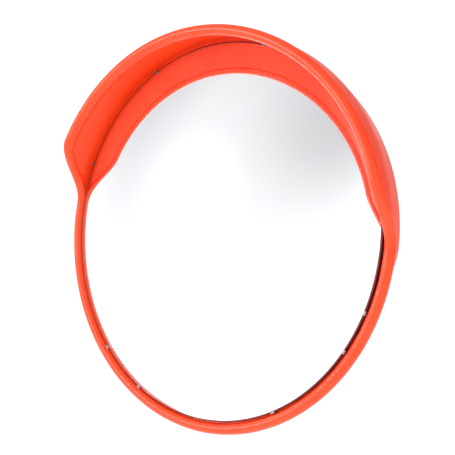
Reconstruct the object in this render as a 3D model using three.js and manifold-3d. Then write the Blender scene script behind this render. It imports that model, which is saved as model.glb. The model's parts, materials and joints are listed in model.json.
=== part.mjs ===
// A traffic convex mirror: a domed mirror in a hooded frame, carried on a pan-and-tilt joint by a pole clamp.
// Millimetres, +Z up. The pole runs along Z through the origin, and the mirror faces -Y.
// The head's own coordinates start at the plane of the rim: y runs backwards, from the dome towards the pole.
import * as THREE from 'three';
import { mergeVertices } from 'three/addons/utils/BufferGeometryUtils.js';
import Module from 'manifold-3d';

const wasm = await Module();
wasm.setup();

// ---- Driving dimensions ----
const RIM_DIAMETER = 450;
const BEAD_RADIUS = { rim: 6.2, lip: 5.6 };
const RIM_RADIUS = RIM_DIAMETER / 2 - BEAD_RADIUS.rim;
const WALL = 2.4;
const GAP = 0.3;

const HOOD_START = 2;
const HOOD_FULL = 19.8;
const HOOD_DEPTH = { side: 39.4, top: 45.8 };
const HOOD_RADIUS = { side: 229.7, top: 218.5 };

const MIRROR = { sphere: 336.4, domeRadius: 209.8, edgeRadius: 210.9, front: -5, thickness: 2 };
const SHELL = { seatRadius: 217.6, seatY: 4, backY: 31.9, flangeRadius: 176, rearY: 38.6 };
const SHELL_BACK_RADIUS = { upper: 207.5, lower: 194 };
const SHELL_STEP = { start: -16, full: 2 };
const LEDGE = { inner: 203, front: 1.5, back: 4.1 };
const GASKET = { inner: 204, outer: 210.4 };

const COVER = { rimRadius: 185.5, padRadius: 80, padY: 54, thickness: 2.6, padThickness: 3 };
const PLATE = { width: 110, thickness: 3, corner: 10 };
const BRACKET = { width: 104, height: 84, thickness: 4, halfGap: 22.6, earHalfHeight: 32, earEnd: 14 };

const TILT_TO_PAD = 36;
const PAN_TO_TILT = 36;
const POLE_TO_PAN = 54;
const TILT_Y = COVER.padY + TILT_TO_PAD;
const RIM_TO_POLE = TILT_Y + PAN_TO_TILT + POLE_TO_PAN;

const POLE_RADIUS = 30;
const LINER = { inner: POLE_RADIUS + GAP, outer: POLE_RADIUS + 2.3 };
const CLAMP = { inner: LINER.outer + GAP, thickness: 5, reach: 64, split: 3, boltX: 50 };
const SADDLE = { height: 56, earThickness: 5, earHalfGap: 22.4, earRadius: 15 };
const STRAP_HEIGHT = 40;
const KNUCKLE = { tiltRadius: 13, panRadius: 14, tiltHalf: 22.2, panHalf: 22, webX: 20, webZ: 22, bore: 5.5 };

const M10 = { shank: 4.9, hole: 5.4, head: 9.8, headHeight: 6.4, nutHeight: 8, washer: 10, washerHeight: 2 };
const M8 = { shank: 3.9, hole: 4.4, head: 7.5, headHeight: 5.3, nutHeight: 6.5, washer: 8, washerHeight: 1.6 };
const THREAD_OUT = 3;

const CLIP = { inner: 210, outer: 212.2, gauge: 0.9, width: 5 };
const CLIP_ANGLES = [165, 127, 84, -17, -30, -61, -115, -133];
const COVER_SCREW = { ring: 181, head: 4.2, headHeight: 2.2, shank: 1.7, hole: 2.1, length: 12, count: 6 };
const PLATE_BOLT = { x: 40, z: 30 };

const ROUND = 48;
const STEP = 360 / ROUND;
const SMALL_ROUND = 16;
const BEAD_SIDES = 8;

// ---- Finishes: colour, roughness, metalness ----
const ORANGE = [0xfa5f44, 0.38, 0];
const SILVERED = [0xf4f6fa, 0.04, 1];
const RUBBER = [0x1f2022, 0.85, 0];
const GALVANISED = [0xa9adb0, 0.5, 0.9];
const ZINC = [0xc9ccd0, 0.32, 1];
const STAINLESS = [0xd8dadd, 0.25, 1];

// ---- Solids: closed triangle meshes, joined and cut ----
function toManifold(geometry) {
  const bare = geometry.index ? geometry.clone() : mergeVertices(geometry);
  bare.deleteAttribute('normal');
  bare.deleteAttribute('uv');
  const merged = mergeVertices(bare, 1e-4);
  const vertProperties = new Float32Array(merged.attributes.position.array);
  const triVerts = facingOut(vertProperties, withoutSlivers(merged.index.array));
  return new wasm.Manifold(new wasm.Mesh({ numProp: 3, vertProperties, triVerts }));
}

function withoutSlivers(index) {
  const kept = [];
  for (let i = 0; i < index.length; i += 3) {
    const [a, b, c] = [index[i], index[i + 1], index[i + 2]];
    if (a !== b && b !== c && c !== a) kept.push(a, b, c);
  }
  return kept;
}

function facingOut(positions, index) {
  const corner = (i) => new THREE.Vector3().fromArray(positions, 3 * i);
  let volume = 0;
  for (let i = 0; i < index.length; i += 3) {
    volume += corner(index[i]).dot(corner(index[i + 1]).cross(corner(index[i + 2])));
  }
  const triangles = Uint32Array.from(index);
  return volume < 0 ? triangles.reverse() : triangles;
}

function toGeometry(manifold) {
  const mesh = manifold.getMesh();
  const geometry = new THREE.BufferGeometry();
  geometry.setAttribute('position', new THREE.BufferAttribute(mesh.vertProperties, 3));
  geometry.setIndex(new THREE.BufferAttribute(mesh.triVerts, 1));
  return geometry;
}

function join(...geometries) {
  return toGeometry(geometries.map(toManifold).reduce((whole, next) => whole.add(next)));
}

function cut(geometry, ...holes) {
  return toGeometry(holes.map(toManifold).reduce((whole, hole) => whole.subtract(hole), toManifold(geometry)));
}

const solid = (geometry) => toGeometry(toManifold(geometry));

// ---- Basic shapes ----
function points(...pairs) {
  return pairs.map(([a, b]) => new THREE.Vector2(a, b));
}

// A ring about Y from a closed profile of (radius, y) points.
function turned(profile, segments = ROUND) {
  return new THREE.LatheGeometry([...profile, profile[0]], segments);
}

// A body about Y whose profile starts and ends on the axis.
function turnedSolid(profile, segments = ROUND) {
  return new THREE.LatheGeometry(profile, segments);
}

function prism(shape, depth, curveSegments = SMALL_ROUND) {
  return new THREE.ExtrudeGeometry(shape, { depth, bevelEnabled: false, curveSegments });
}

// A prism whose outline is drawn in Y and Z and whose depth runs along X.
function prismAlongX(shape, depth) {
  const [x, y, z] = [new THREE.Vector3(1, 0, 0), new THREE.Vector3(0, 1, 0), new THREE.Vector3(0, 0, 1)];
  return prism(shape, depth).applyMatrix4(new THREE.Matrix4().makeBasis(y, z, x));
}

function cylinder(radius, length, axis, segments = SMALL_ROUND) {
  const geometry = new THREE.CylinderGeometry(radius, radius, length, segments);
  if (axis === 'x') geometry.rotateZ(Math.PI / 2);
  if (axis === 'z') geometry.rotateX(Math.PI / 2);
  return geometry;
}

function box(x, y, z) {
  return new THREE.BoxGeometry(x, y, z);
}

function onCircle(radius, degrees) {
  const angle = THREE.MathUtils.degToRad(degrees);
  return { x: radius * Math.cos(angle), z: radius * Math.sin(angle) };
}

function roundedRectangle(width, height, corner) {
  const [x, y] = [width / 2, height / 2];
  const shape = new THREE.Shape();
  shape.absarc(x - corner, y - corner, corner, 0, Math.PI / 2);
  shape.absarc(corner - x, y - corner, corner, Math.PI / 2, Math.PI);
  shape.absarc(corner - x, corner - y, corner, Math.PI, 1.5 * Math.PI);
  shape.absarc(x - corner, corner - y, corner, 1.5 * Math.PI, 2 * Math.PI);
  return shape;
}

// ---- Fasteners: along Z, with the bearing face of the head, nut or washer at z = 0 ----
function polygonShape(radius, sides) {
  const corners = [];
  for (let i = 0; i < sides; i += 1) {
    const angle = (2 * Math.PI * i) / sides;
    corners.push(new THREE.Vector2(radius * Math.cos(angle), radius * Math.sin(angle)));
  }
  return new THREE.Shape(corners);
}

function bored(shape, holeRadius) {
  shape.holes.push(new THREE.Path().absarc(0, 0, holeRadius, 0, 2 * Math.PI, true));
  return shape;
}

function hexBolt(thread, length) {
  const head = cylinder(thread.head, thread.headHeight, 'z', 6).translate(0, 0, thread.headHeight / 2);
  const shank = cylinder(thread.shank, length + 1, 'z', 12).translate(0, 0, (1 - length) / 2);
  return join(head, shank);
}

function hexNut(thread) {
  return solid(prism(bored(polygonShape(thread.head, 6), thread.hole), thread.nutHeight, 5));
}

function washer(thread) {
  return solid(prism(bored(polygonShape(thread.washer, 12), thread.hole), thread.washerHeight, 5));
}

// A pan-head screw along Y: the head's bearing face is at y = 0 and the shank runs towards +y.
function panScrew({ head, headHeight, shank, length }) {
  const profile = points([0, -headHeight], [0.6 * head, -headHeight], [head, 0], [shank, 0],
    [shank, length - shank], [0, length]);
  return solid(turnedSolid(profile, 8));
}

// ---- The hooded frame ----
// Angles run round the rim from +X towards +Z. The bead leaves the rim just above 3 and 9 o'clock, climbs
// forwards in an S, and runs over the top as the hood's lip.
function heightAngle(degrees) {
  return THREE.MathUtils.radToDeg(Math.asin(Math.sin(THREE.MathUtils.degToRad(degrees))));
}

function riseAt(degrees) {
  return THREE.MathUtils.smoothstep(heightAngle(degrees), HOOD_START, HOOD_FULL);
}

function lipAt(degrees) {
  const rise = riseAt(degrees);
  const top = Math.sin(THREE.MathUtils.degToRad(degrees)) ** 2;
  const depth = THREE.MathUtils.lerp(HOOD_DEPTH.side, HOOD_DEPTH.top, top);
  const radius = THREE.MathUtils.lerp(HOOD_RADIUS.side, HOOD_RADIUS.top, top);
  return new THREE.Vector2(THREE.MathUtils.lerp(RIM_RADIUS, radius, rise), -rise * depth);
}

function beadSection(degrees) {
  const lip = lipAt(degrees);
  const radius = THREE.MathUtils.lerp(BEAD_RADIUS.rim, BEAD_RADIUS.lip, riseAt(degrees));
  const section = [];
  for (let i = 0; i < BEAD_SIDES; i += 1) {
    const angle = (2 * Math.PI * i) / BEAD_SIDES;
    section.push(new THREE.Vector2(Math.cos(angle), Math.sin(angle)).multiplyScalar(radius).add(lip));
  }
  return section;
}

// The shell behind the hood stands out, and steps in below it, where the bead hides it.
function shellBackAt(degrees) {
  const step = THREE.MathUtils.smoothstep(heightAngle(degrees), SHELL_STEP.start, SHELL_STEP.full);
  return THREE.MathUtils.lerp(SHELL_BACK_RADIUS.lower, SHELL_BACK_RADIUS.upper, step);
}

// The hood's wall runs from inside the bead back to the seat, where it takes up the shell's slope.
function hoodSection(degrees) {
  const seat = new THREE.Vector2(SHELL.seatRadius - WALL / 2, SHELL.seatY - 1);
  const fall = SHELL.seatRadius - shellBackAt(degrees);
  const slope = new THREE.Vector2(fall, SHELL.seatY - SHELL.backY).normalize();
  const start = lipAt(degrees);
  start.x -= 0.4 * BEAD_RADIUS.lip;
  const knee = seat.clone().addScaledVector(slope, 0.2 * start.distanceTo(seat));
  const curve = new THREE.QuadraticBezierCurve(start, knee, seat);
  const [outside, inside] = [[], []];
  for (const t of [0, 0.4, 0.8, 1]) {
    const along = curve.getTangent(t);
    const across = new THREE.Vector2(along.y, -along.x).multiplyScalar(0.45 * WALL);
    outside.push(curve.getPoint(t).add(across));
    inside.unshift(curve.getPoint(t).sub(across));
  }
  return [...outside, ...inside];
}

function sweepAngles() {
  const angles = [];
  const inCurve = (a) => a < 3 * STEP || (a >= 180 - 3 * STEP && a < 180);
  for (let a = 0; a < 360; a += inCurve(a) ? STEP / 3 : STEP) angles.push(a);
  return angles;
}

// A closed ring about Y from a section of (radius, y) points that changes with the angle.
function sweptRing(sectionAt) {
  const rings = sweepAngles().map((degrees) => sectionAt(degrees).map(({ x: radius, y }) => {
    const place = onCircle(radius, degrees);
    return [place.x, y, place.z];
  }));
  const size = rings[0].length;
  const index = [];
  rings.forEach((ring, i) => {
    const next = (i + 1) % rings.length;
    ring.forEach((_, j) => {
      const k = (j + 1) % size;
      const [a, b, c, d] = [i * size + j, next * size + j, next * size + k, i * size + k];
      index.push(a, b, c, a, c, d);
    });
  });
  const geometry = new THREE.BufferGeometry();
  geometry.setAttribute('position', new THREE.Float32BufferAttribute(rings.flat(2), 3));
  geometry.setIndex(index);
  return geometry;
}

function shellSection(degrees) {
  const { seatRadius, seatY, backY, flangeRadius, rearY } = SHELL;
  const backRadius = shellBackAt(degrees);
  return points([seatRadius + 0.2, 1], [seatRadius, seatY], [backRadius, backY],
    [backRadius - 1.4, backY + 3], [backRadius - 4, rearY - 0.6], [backRadius - 7.6, rearY],
    [flangeRadius, rearY], [flangeRadius, rearY - WALL], [backRadius - 8, rearY - WALL],
    [backRadius - 4.4, backY + 1.4], [backRadius - WALL - 0.4, backY - 0.6],
    [seatRadius - WALL - 0.4, LEDGE.back], [LEDGE.inner, LEDGE.back], [LEDGE.inner, LEDGE.front],
    [seatRadius - WALL, LEDGE.front], [seatRadius - WALL + 0.2, 1]);
}

function hole(ring, degrees, radius, y) {
  const place = onCircle(ring, degrees);
  return cylinder(radius, 12, 'y', 10).translate(place.x, y, place.z);
}

const coverScrewAngles = Array.from({ length: COVER_SCREW.count }, (_, i) => 30 + (i * 360) / COVER_SCREW.count);

// A slot through the ledge for a clip's leg.
function clipSlot(degrees) {
  const radial = CLIP.gauge + 2 * GAP;
  const slot = box(radial, 8, CLIP.width + 2 * GAP).translate(CLIP.outer - CLIP.gauge / 2, LEDGE.back, 0);
  return slot.rotateY(-THREE.MathUtils.degToRad(degrees));
}

function hoodedFrame() {
  const body = join(sweptRing(shellSection), sweptRing(beadSection), sweptRing(hoodSection));
  const screws = coverScrewAngles.map((a) => hole(COVER_SCREW.ring, a, COVER_SCREW.hole, SHELL.rearY));
  return cut(body, ...CLIP_ANGLES.map(clipSlot), ...screws);
}

// ---- The mirror and its gasket ----
function domeArc(radius, edge, centreY, steps) {
  const reach = Math.asin(edge / radius);
  const arc = [];
  for (let i = 0; i <= steps; i += 1) {
    const angle = (reach * i) / steps;
    arc.push(new THREE.Vector2(radius * Math.sin(angle), centreY - radius * Math.cos(angle)));
  }
  return arc;
}

function mirrorDome() {
  const { sphere, domeRadius, edgeRadius, front, thickness } = MIRROR;
  const centreY = front + Math.sqrt(sphere ** 2 - domeRadius ** 2);
  const back = front + thickness;
  const inner = sphere - thickness;
  const innerEdge = Math.sqrt(inner ** 2 - (centreY - back) ** 2);
  const outside = domeArc(sphere, domeRadius, centreY, 8);
  const inside = domeArc(inner, innerEdge, centreY, 5).reverse();
  return solid(turnedSolid([...outside, ...points([edgeRadius, front], [edgeRadius, back]), ...inside]));
}

function sealingRing() {
  const front = MIRROR.front + MIRROR.thickness + GAP;
  const back = LEDGE.front - GAP;
  return solid(turned(points([GASKET.outer, front], [GASKET.outer, back], [GASKET.inner, back],
    [GASKET.inner, front])));
}

// A spring clip bent from strip: it hooks over the mirror's edge and under the ledge. Its section is drawn in
// radius and y, for a clip at 3 o'clock.
function retainingClip() {
  const { inner, outer, gauge, width } = CLIP;
  const hook = MIRROR.front - GAP;
  const foot = LEDGE.back + GAP;
  const section = new THREE.Shape(points([inner, hook], [inner, hook - gauge], [outer, hook - gauge],
    [outer, foot + gauge], [inner, foot + gauge], [inner, foot], [outer - gauge, foot], [outer - gauge, hook]));
  return solid(prism(section, width).translate(0, 0, -width / 2));
}

// ---- The back cover and the plate that stiffens it ----
function plateBoltHoles(y) {
  const holes = [];
  for (const x of [-PLATE_BOLT.x, PLATE_BOLT.x]) {
    for (const z of [-PLATE_BOLT.z, PLATE_BOLT.z]) holes.push(cylinder(M8.hole, 20, 'y', 12).translate(x, y, z));
  }
  return holes;
}

function backCover() {
  const { rimRadius, padRadius, padY, thickness, padThickness } = COVER;
  const front = SHELL.rearY + GAP;
  const rear = [[0, padY], [padRadius, padY], [padRadius + 4, padY - 2], [112, 50.6], [118, 52.6], [130, 52.6],
    [136, 49.6], [160, 46], [171, front + thickness], [rimRadius, front + thickness]];
  const face = [[rimRadius, front], [170, front], [158.6, 46 - thickness], [135, 49.6 - thickness],
    [129, 52.6 - thickness], [119, 52.6 - thickness], [113, 50.6 - thickness],
    [padRadius + 4.6, padY - 2 - thickness], [padRadius + 0.6, padY - padThickness], [0, padY - padThickness]];
  const screws = coverScrewAngles.map((a) => hole(COVER_SCREW.ring, a, COVER_SCREW.hole, front));
  return cut(turnedSolid(points(...rear, ...face)), ...screws, ...plateBoltHoles(padY));
}

const plateY = COVER.padY - COVER.padThickness - GAP - PLATE.thickness;

function backingPlate() {
  const plate = prism(roundedRectangle(PLATE.width, PLATE.width, PLATE.corner), PLATE.thickness, 4);
  plate.rotateX(Math.PI / 2).translate(0, plateY + PLATE.thickness, 0);
  return cut(plate, ...plateBoltHoles(plateY));
}

// ---- The bracket on the back: a base plate with two ears that hold the tilt bolt ----
const bracketY = COVER.padY + GAP;
const earX = BRACKET.halfGap + BRACKET.thickness;

function earShape() {
  const { earHalfHeight, earEnd, thickness } = BRACKET;
  const foot = bracketY + thickness / 2;
  const reach = TILT_Y - foot;
  const lean = Math.atan2(earHalfHeight, reach) - Math.asin(earEnd / Math.hypot(reach, earHalfHeight));
  const shape = new THREE.Shape();
  shape.moveTo(foot, earHalfHeight);
  shape.lineTo(foot, -earHalfHeight);
  shape.absarc(TILT_Y, 0, earEnd, lean - Math.PI / 2, Math.PI / 2 - lean, false);
  return shape;
}

function mirrorBracket() {
  const { width, height, thickness, halfGap } = BRACKET;
  const base = prism(roundedRectangle(width, height, 8), thickness, 4);
  base.rotateX(Math.PI / 2).translate(0, bracketY + thickness, 0);
  const ears = [-earX, halfGap].map((x) => prismAlongX(earShape(), thickness).translate(x, 0, 0));
  const tiltHole = cylinder(M10.hole, 4 * earX, 'x').translate(0, TILT_Y, 0);
  return cut(join(base, ...ears), tiltHole, ...plateBoltHoles(bracketY));
}

// ---- The knuckle: a cross of two bores, in its own coordinates about the pan axis ----
function knuckle() {
  const { tiltRadius, panRadius, tiltHalf, panHalf, webX, webZ, bore } = KNUCKLE;
  const tiltBoss = cylinder(tiltRadius, 2 * tiltHalf, 'x', 20).translate(0, -PAN_TO_TILT, 0);
  const panBoss = cylinder(panRadius, 2 * panHalf, 'z', 20);
  const web = box(webX, PAN_TO_TILT, webZ).translate(0, -PAN_TO_TILT / 2, 0);
  const tiltBore = cylinder(bore, 4 * tiltHalf, 'x').translate(0, -PAN_TO_TILT, 0);
  const panBore = cylinder(bore, 4 * panHalf, 'z');
  return cut(join(tiltBoss, panBoss, web), tiltBore, panBore);
}

// ---- The pole clamp: a saddle with ears for the pan bolt, a strap and two rubber liners ----
// Half of a split ring with bolting wings, opening towards +Y.
function halfClampShape() {
  const { inner, thickness, reach, split } = CLAMP;
  const outer = inner + thickness;
  const front = split + thickness;
  const innerEnd = Math.asin(split / inner);
  const outerEnd = Math.asin(front / outer);
  const shape = new THREE.Shape();
  shape.moveTo(-reach, -split);
  shape.lineTo(-reach, -front);
  shape.absarc(0, 0, outer, Math.PI + outerEnd, 2 * Math.PI - outerEnd, false);
  shape.lineTo(reach, -front);
  shape.lineTo(reach, -split);
  shape.absarc(0, 0, inner, 2 * Math.PI - innerEnd, Math.PI + innerEnd, true);
  return shape;
}

function clampBoltHoles() {
  return [-CLAMP.boltX, CLAMP.boltX].map((x) => cylinder(M8.hole, 40, 'y', 12).translate(x, 0, 0));
}

function clampSaddle() {
  const ring = prism(halfClampShape(), SADDLE.height).translate(0, 0, -SADDLE.height / 2);
  const root = CLAMP.inner + 1.4;
  const ear = new THREE.Shape();
  ear.moveTo(SADDLE.earRadius, -root);
  ear.lineTo(-SADDLE.earRadius, -root);
  ear.absarc(0, -POLE_TO_PAN, SADDLE.earRadius, Math.PI, 2 * Math.PI, false);
  const ears = [SADDLE.earHalfGap, -SADDLE.earHalfGap - SADDLE.earThickness].map(
    (z) => prism(ear, SADDLE.earThickness).translate(0, 0, z),
  );
  const panHole = cylinder(M10.hole, 2 * SADDLE.height, 'z').translate(0, -POLE_TO_PAN, 0);
  return cut(join(ring, ...ears), panHole, ...clampBoltHoles());
}

function clampStrap() {
  const ring = prism(halfClampShape(), STRAP_HEIGHT).translate(0, 0, -STRAP_HEIGHT / 2).rotateZ(Math.PI);
  return cut(ring, ...clampBoltHoles());
}

function poleLiner(height, start) {
  const end = start + Math.PI * 0.92;
  const shape = new THREE.Shape();
  shape.absarc(0, 0, LINER.outer, start, end, false);
  shape.absarc(0, 0, LINER.inner, end, start, true);
  return solid(prism(shape, height).translate(0, 0, -height / 2));
}

// ---- Assembly ----
function add(group, name, geometry, [color, roughness, metalness], place = {}) {
  const material = new THREE.MeshStandardMaterial({ color, roughness, metalness });
  const mesh = new THREE.Mesh(geometry, material);
  mesh.name = name;
  mesh.position.set(place.x ?? 0, place.y ?? 0, place.z ?? 0);
  mesh.rotation.set(place.turnX ?? 0, place.turnY ?? 0, place.turnZ ?? 0);
  group.add(mesh);
}

const QUARTER = Math.PI / 2;

function addRimFixings(head) {
  CLIP_ANGLES.forEach((angle, i) => {
    const place = { turnY: -THREE.MathUtils.degToRad(angle) };
    add(head, `retaining_clip_${i + 1}`, retainingClip(), STAINLESS, place);
  });
  coverScrewAngles.forEach((angle, i) => {
    const y = SHELL.rearY + COVER.thickness + 2 * GAP;
    const place = { ...onCircle(COVER_SCREW.ring, angle), y, turnX: Math.PI };
    add(head, `cover_screw_${i + 1}`, panScrew(COVER_SCREW), STAINLESS, place);
  });
}

function addPlateBolts(head) {
  const washerY = bracketY + BRACKET.thickness + GAP;
  const nutY = washerY + M8.washerHeight + GAP;
  const headY = plateY - GAP;
  const length = nutY + M8.nutHeight + THREAD_OUT - headY;
  let number = 1;
  for (const x of [-PLATE_BOLT.x, PLATE_BOLT.x]) {
    for (const z of [-PLATE_BOLT.z, PLATE_BOLT.z]) {
      add(head, `plate_bolt_${number}`, hexBolt(M8, length), ZINC, { x, y: headY, z, turnX: QUARTER });
      add(head, `plate_washer_${number}`, washer(M8), ZINC, { x, y: washerY, z, turnX: -QUARTER });
      add(head, `plate_nut_${number}`, hexNut(M8), ZINC, { x, y: nutY, z, turnX: -QUARTER });
      number += 1;
    }
  }
}

// A bolt along Z through a stack from -half to +half, with a washer at each end, head up.
function addThroughBolt(group, name, half, turn) {
  const rig = new THREE.Group();
  rig.rotation.y = turn;
  const washerZ = half + GAP;
  const faceZ = washerZ + M10.washerHeight + GAP;
  const length = 2 * faceZ + M10.nutHeight + THREAD_OUT;
  add(rig, `${name}_bolt`, hexBolt(M10, length), ZINC, { z: faceZ });
  add(rig, `${name}_washer_1`, washer(M10), ZINC, { z: washerZ });
  add(rig, `${name}_washer_2`, washer(M10), ZINC, { z: -washerZ - M10.washerHeight });
  add(rig, `${name}_nut`, hexNut(M10), ZINC, { z: -faceZ - M10.nutHeight });
  group.add(rig);
  return rig;
}

function mirrorHead() {
  const head = new THREE.Group();
  head.position.y = -RIM_TO_POLE;
  add(head, 'hooded_frame', hoodedFrame(), ORANGE);
  add(head, 'mirror_dome', mirrorDome(), SILVERED);
  add(head, 'sealing_ring', sealingRing(), RUBBER);
  add(head, 'back_cover', backCover(), ORANGE);
  add(head, 'backing_plate', backingPlate(), GALVANISED);
  add(head, 'mirror_bracket', mirrorBracket(), GALVANISED);
  addRimFixings(head);
  addPlateBolts(head);
  addThroughBolt(head, 'tilt', earX, QUARTER).position.y = TILT_Y;
  return head;
}

function poleClamp() {
  const clamp = new THREE.Group();
  add(clamp, 'clamp_saddle', clampSaddle(), GALVANISED);
  add(clamp, 'clamp_strap', clampStrap(), GALVANISED);
  add(clamp, 'pole_liner_front', poleLiner(SADDLE.height, 1.04 * Math.PI), RUBBER);
  add(clamp, 'pole_liner_rear', poleLiner(STRAP_HEIGHT, 0.04 * Math.PI), RUBBER);
  addThroughBolt(clamp, 'pan', SADDLE.earHalfGap + SADDLE.earThickness, 0).position.y = -POLE_TO_PAN;
  const face = CLAMP.split + CLAMP.thickness + GAP;
  const nutY = face + M8.washerHeight + GAP;
  const length = nutY + M8.nutHeight + THREAD_OUT + face;
  [-CLAMP.boltX, CLAMP.boltX].forEach((x, i) => {
    add(clamp, `clamp_bolt_${i + 1}`, hexBolt(M8, length), ZINC, { x, y: -face, turnX: QUARTER });
    add(clamp, `clamp_washer_${i + 1}`, washer(M8), ZINC, { x, y: face, turnX: -QUARTER });
    add(clamp, `clamp_nut_${i + 1}`, hexNut(M8), ZINC, { x, y: nutY, turnX: -QUARTER });
  });
  return clamp;
}

const mirror = new THREE.Group();
mirror.add(mirrorHead(), poleClamp());
add(mirror, 'knuckle', knuckle(), GALVANISED, { y: -POLE_TO_PAN });

export default mirror;
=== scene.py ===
"""A traffic convex mirror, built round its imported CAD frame. Metres, +Z up, the mirror faces -Y."""
import json
import math

import bmesh
import bpy
import numpy as np
from mathutils import Matrix, Vector

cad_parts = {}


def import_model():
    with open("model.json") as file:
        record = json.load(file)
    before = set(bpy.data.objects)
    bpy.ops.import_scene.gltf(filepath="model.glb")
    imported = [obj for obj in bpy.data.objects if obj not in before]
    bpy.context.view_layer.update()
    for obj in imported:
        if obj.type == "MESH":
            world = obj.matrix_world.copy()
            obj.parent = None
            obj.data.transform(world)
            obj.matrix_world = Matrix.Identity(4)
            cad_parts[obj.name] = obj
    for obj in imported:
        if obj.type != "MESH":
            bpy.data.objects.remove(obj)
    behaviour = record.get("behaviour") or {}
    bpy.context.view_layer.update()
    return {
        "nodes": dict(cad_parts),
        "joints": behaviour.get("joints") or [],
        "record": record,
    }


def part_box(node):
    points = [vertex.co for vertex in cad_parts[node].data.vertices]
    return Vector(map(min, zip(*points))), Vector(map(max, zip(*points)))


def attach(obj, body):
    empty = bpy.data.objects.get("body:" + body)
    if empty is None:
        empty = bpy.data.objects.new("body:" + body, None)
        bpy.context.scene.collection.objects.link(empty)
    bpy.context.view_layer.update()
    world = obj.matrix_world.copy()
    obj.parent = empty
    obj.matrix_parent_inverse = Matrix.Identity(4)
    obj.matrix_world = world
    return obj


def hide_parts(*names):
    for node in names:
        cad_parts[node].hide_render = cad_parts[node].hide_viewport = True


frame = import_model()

MM = 0.001
bodies = frame["record"]["behaviour"]["bodies"]
body_of_node = {node: body for body, nodes in bodies.items() for node in nodes}
slot_of_node = {part["node"]: part["material_slot"] for part in frame["record"]["subparts"]}

# ---- Sizes taken from the frame ----
RIM = -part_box("hooded_frame")[0].z
MIRROR_THICKNESS, MIRROR_FRONT = 2.0, -5.0
FACE_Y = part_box("mirror_dome")[1].y - (MIRROR_FRONT + MIRROR_THICKNESS) * MM

# ---- The frame's section, in millimetres: radius from the mirror's axis, and y behind the rim's plane ----
BEAD_RIM, BEAD_LIP = 6.2, 6.3
BEAD_RING = RIM / MM - BEAD_RIM
WALL = 2.4
HOOD_START, HOOD_FULL = 2.0, 19.8
HOOD_DEPTH = (38.7, 45.1)
HOOD_RADIUS = (229.0, 217.8)
SEAT = np.array([217.6, 4.0])
SHELL_BACK_Y, SHELL_BACK_RADIUS = 31.9, (194.0, 207.5)
SHELL_STEP = (-16.0, 2.0)
REAR_Y, FLANGE = 38.6, 176.0
LEDGE_INNER, LEDGE_FRONT, LEDGE_BACK = 203.0, 1.5, 4.1
GAP = 0.3


def smoothstep(x):
    x = np.clip(x, 0, 1)
    return x * x * (3 - 2 * x)


def blend(pair, share):
    return pair[0] + (pair[1] - pair[0]) * share


# ---- Mesh helpers ----
def new_object(name, mesh):
    piece = bpy.data.objects.new(name, mesh)
    bpy.context.scene.collection.objects.link(piece)
    return piece


def new_mesh(name, vertices, faces, sharp_degrees=35):
    """A smooth-shaded mesh object with its doubled points merged and its faces turned outwards."""
    mesh = bpy.data.meshes.new(name)
    mesh.from_pydata([tuple(v) for v in vertices], [], faces)
    cleaned(mesh, sharp_degrees)
    return new_object(name, mesh)


def cleaned(mesh, sharp_degrees=35):
    work = bmesh.new()
    work.from_mesh(mesh)
    bmesh.ops.remove_doubles(work, verts=work.verts, dist=2e-6)
    bmesh.ops.dissolve_degenerate(work, edges=work.edges, dist=1e-7)
    bmesh.ops.recalc_face_normals(work, faces=work.faces)
    work.to_mesh(mesh)
    work.free()
    mesh.shade_smooth()
    mesh.set_sharp_from_angle(angle=math.radians(sharp_degrees))


def grid_faces(rows, columns, close_rows):
    """Quads over a grid of points whose columns always close on themselves."""
    faces = []
    for i in range(rows if close_rows else rows - 1):
        for j in range(columns):
            a, b = i * columns + j, i * columns + (j + 1) % columns
            c = (i + 1) % rows * columns
            faces.append((a, c + j, c + (j + 1) % columns, b))
    return faces


def about_y(profile, degrees):
    """Points of a (radius, y) section in millimetres, turned to an angle round the mirror's axis."""
    angle = math.radians(degrees)
    radius, y = np.asarray(profile).T * MM
    return np.stack([radius * math.cos(angle), y + FACE_Y, radius * math.sin(angle)], axis=1)


def turned(name, profile, steps, relief=None):
    """A body of revolution about the mirror's axis, from a profile that starts and ends on the axis."""
    rows = []
    for i in range(steps):
        section = np.array(profile, float)
        if relief:
            section[:, 1] += relief(section, 360 * i / steps)
        rows.append(about_y(section, 360 * i / steps))
    stack = np.stack(rows, axis=1)
    return new_mesh(name, stack.reshape(-1, 3), grid_faces(len(profile), steps, False))


def result_of(piece):
    """Applies a piece's modifiers."""
    graph = bpy.context.evaluated_depsgraph_get()
    mesh = bpy.data.meshes.new_from_object(piece.evaluated_get(graph))
    piece.modifiers.clear()
    piece.data = mesh
    return piece


def combined(base, tools, operation="DIFFERENCE", sharp_degrees=30):
    """Joins pieces to a base or cuts them from it, and removes them."""
    for tool in tools:
        modifier = base.modifiers.new("boolean", "BOOLEAN")
        modifier.operation, modifier.solver, modifier.object = operation, "EXACT", tool
        result_of(base)
        bpy.data.objects.remove(tool)
    cleaned(base.data, sharp_degrees)
    return base


def joined(name, pieces):
    """Several separate shells in one object."""
    work = bmesh.new()
    for piece in pieces:
        work.from_mesh(piece.data)
        bpy.data.objects.remove(piece)
    mesh = bpy.data.meshes.new(name)
    work.to_mesh(mesh)
    work.free()
    cleaned(mesh, 40)
    return new_object(name, mesh)


def softened(piece, voxel, rounds):
    """Remeshes a piece evenly and smooths it, so that its edges and joins look cast or dipped."""
    remesh = piece.modifiers.new("remesh", "REMESH")
    remesh.mode, remesh.voxel_size = "VOXEL", voxel * MM
    smooth = piece.modifiers.new("smooth", "SMOOTH")
    smooth.factor, smooth.iterations = 0.5, rounds
    result_of(piece)
    piece.data.shade_smooth()
    return piece


def finish_piece(piece, material, node):
    """Gives a piece its material and the body of the CAD node that it stands for, and hides that node."""
    piece.data.materials.clear()
    piece.data.materials.append(material)
    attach(piece, body_of_node[node])
    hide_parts(node)


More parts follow.
